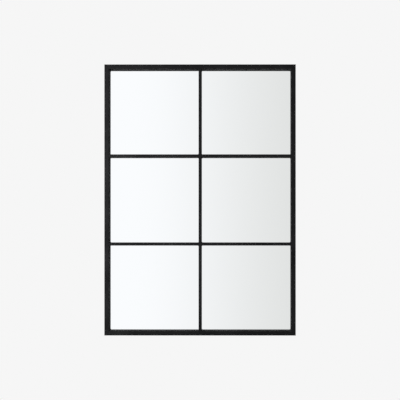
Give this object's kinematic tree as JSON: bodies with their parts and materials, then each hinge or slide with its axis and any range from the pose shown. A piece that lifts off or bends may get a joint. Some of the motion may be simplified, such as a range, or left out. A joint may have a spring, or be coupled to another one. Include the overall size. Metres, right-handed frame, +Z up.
{
  "type": "outdoor wall mirror",
  "caption": "Outdoor wall mirror in the form of a window: black steel frame and bars over one mirror sheet, with keyhole hangers and turn buttons behind.",
  "frame": {"origin": "on the wall plane, midway between the entry holes of the two keyhole hangers", "axes": "+X right as seen from the front, +Y into the wall, so the mirror faces -Y, +Z up"},
  "size_m": [0.6, 0.0395, 0.85],
  "materials": {
    "powder_coat": "matt black polyester powder coat on welded steel",
    "mirror": "silvered float glass",
    "foam_tape": "black closed-cell foam tape",
    "safety_film": "grey polyethylene safety film",
    "foam_sheet": "white polyethylene foam sheet",
    "board": "charcoal foamed PVC board, matt",
    "rubber_block": "black neoprene",
    "zinc_plate": "bright zinc plated steel plate",
    "button_steel": "stamped stainless steel",
    "screw_steel": "stainless steel, pan head",
    "rubber_pad": "black moulded rubber"
  },
  "bodies": {
    "frame": {"top_rail": "powder_coat", "bottom_rail": "powder_coat", "left_stile": "powder_coat", "right_stile": "powder_coat", "mullion": "powder_coat", "upper_transom": "powder_coat", "lower_transom": "powder_coat", "mirror_glass": "mirror", "tape_top": "foam_tape", "tape_bottom": "foam_tape", "tape_left": "foam_tape", "tape_right": "foam_tape", "tape_mullion": "foam_tape", "tape_upper_left": "foam_tape", "tape_upper_right": "foam_tape", "tape_lower_left": "foam_tape", "tape_lower_right": "foam_tape", "safety_film": "safety_film", "cushion_sheet": "foam_sheet", "back_board": "board", "setting_blocks": "rubber_block", "side_packers": "rubber_block", "hanger_plate_left": "zinc_plate", "hanger_plate_right": "zinc_plate", "hanger_screws": "screw_steel", "turn_button_screws": "screw_steel", "wall_pad_top_left": "rubber_pad", "wall_pad_top_right": "rubber_pad", "wall_pad_bottom_left": "rubber_pad", "wall_pad_bottom_right": "rubber_pad"},
    "button_left_upper": {"turn_button_left_upper": "button_steel"},
    "button_right_upper": {"turn_button_right_upper": "button_steel"},
    "button_left_middle": {"turn_button_left_middle": "button_steel"},
    "button_right_middle": {"turn_button_right_middle": "button_steel"},
    "button_left_lower": {"turn_button_left_lower": "button_steel"},
    "button_right_lower": {"turn_button_right_lower": "button_steel"},
    "button_top_left": {"turn_button_top_left": "button_steel"},
    "button_bottom_left": {"turn_button_bottom_left": "button_steel"},
    "button_top_right": {"turn_button_top_right": "button_steel"},
    "button_bottom_right": {"turn_button_bottom_right": "button_steel"}
  },
  "joints": [
    {"name": "swing_left_upper", "type": "hinge", "parent": "frame", "child": "button_left_upper", "pos_m": [-0.296, -0.0065, -0.11], "axis": [0, 1, 0], "range_deg": [-90, 90]},
    {"name": "swing_right_upper", "type": "hinge", "parent": "frame", "child": "button_right_upper", "pos_m": [0.296, -0.0065, -0.11], "axis": [0, 1, 0], "range_deg": [-90, 90]},
    {"name": "swing_left_middle", "type": "hinge", "parent": "frame", "child": "button_left_middle", "pos_m": [-0.296, -0.0065, -0.365], "axis": [0, 1, 0], "range_deg": [-90, 90]},
    {"name": "swing_right_middle", "type": "hinge", "parent": "frame", "child": "button_right_middle", "pos_m": [0.296, -0.0065, -0.365], "axis": [0, 1, 0], "range_deg": [-90, 90]},
    {"name": "swing_left_lower", "type": "hinge", "parent": "frame", "child": "button_left_lower", "pos_m": [-0.296, -0.0065, -0.62], "axis": [0, 1, 0], "range_deg": [-90, 90]},
    {"name": "swing_right_lower", "type": "hinge", "parent": "frame", "child": "button_right_lower", "pos_m": [0.296, -0.0065, -0.62], "axis": [0, 1, 0], "range_deg": [-90, 90]},
    {"name": "swing_top_left", "type": "hinge", "parent": "frame", "child": "button_top_left", "pos_m": [-0.15, -0.0065, 0.056], "axis": [0, 1, 0], "range_deg": [-90, 90]},
    {"name": "swing_bottom_left", "type": "hinge", "parent": "frame", "child": "button_bottom_left", "pos_m": [-0.15, -0.0065, -0.786], "axis": [0, 1, 0], "range_deg": [-90, 90]},
    {"name": "swing_top_right", "type": "hinge", "parent": "frame", "child": "button_top_right", "pos_m": [0.15, -0.0065, 0.056], "axis": [0, 1, 0], "range_deg": [-90, 90]},
    {"name": "swing_bottom_right", "type": "hinge", "parent": "frame", "child": "button_bottom_right", "pos_m": [0.15, -0.0065, -0.786], "axis": [0, 1, 0], "range_deg": [-90, 90]}
  ]
}
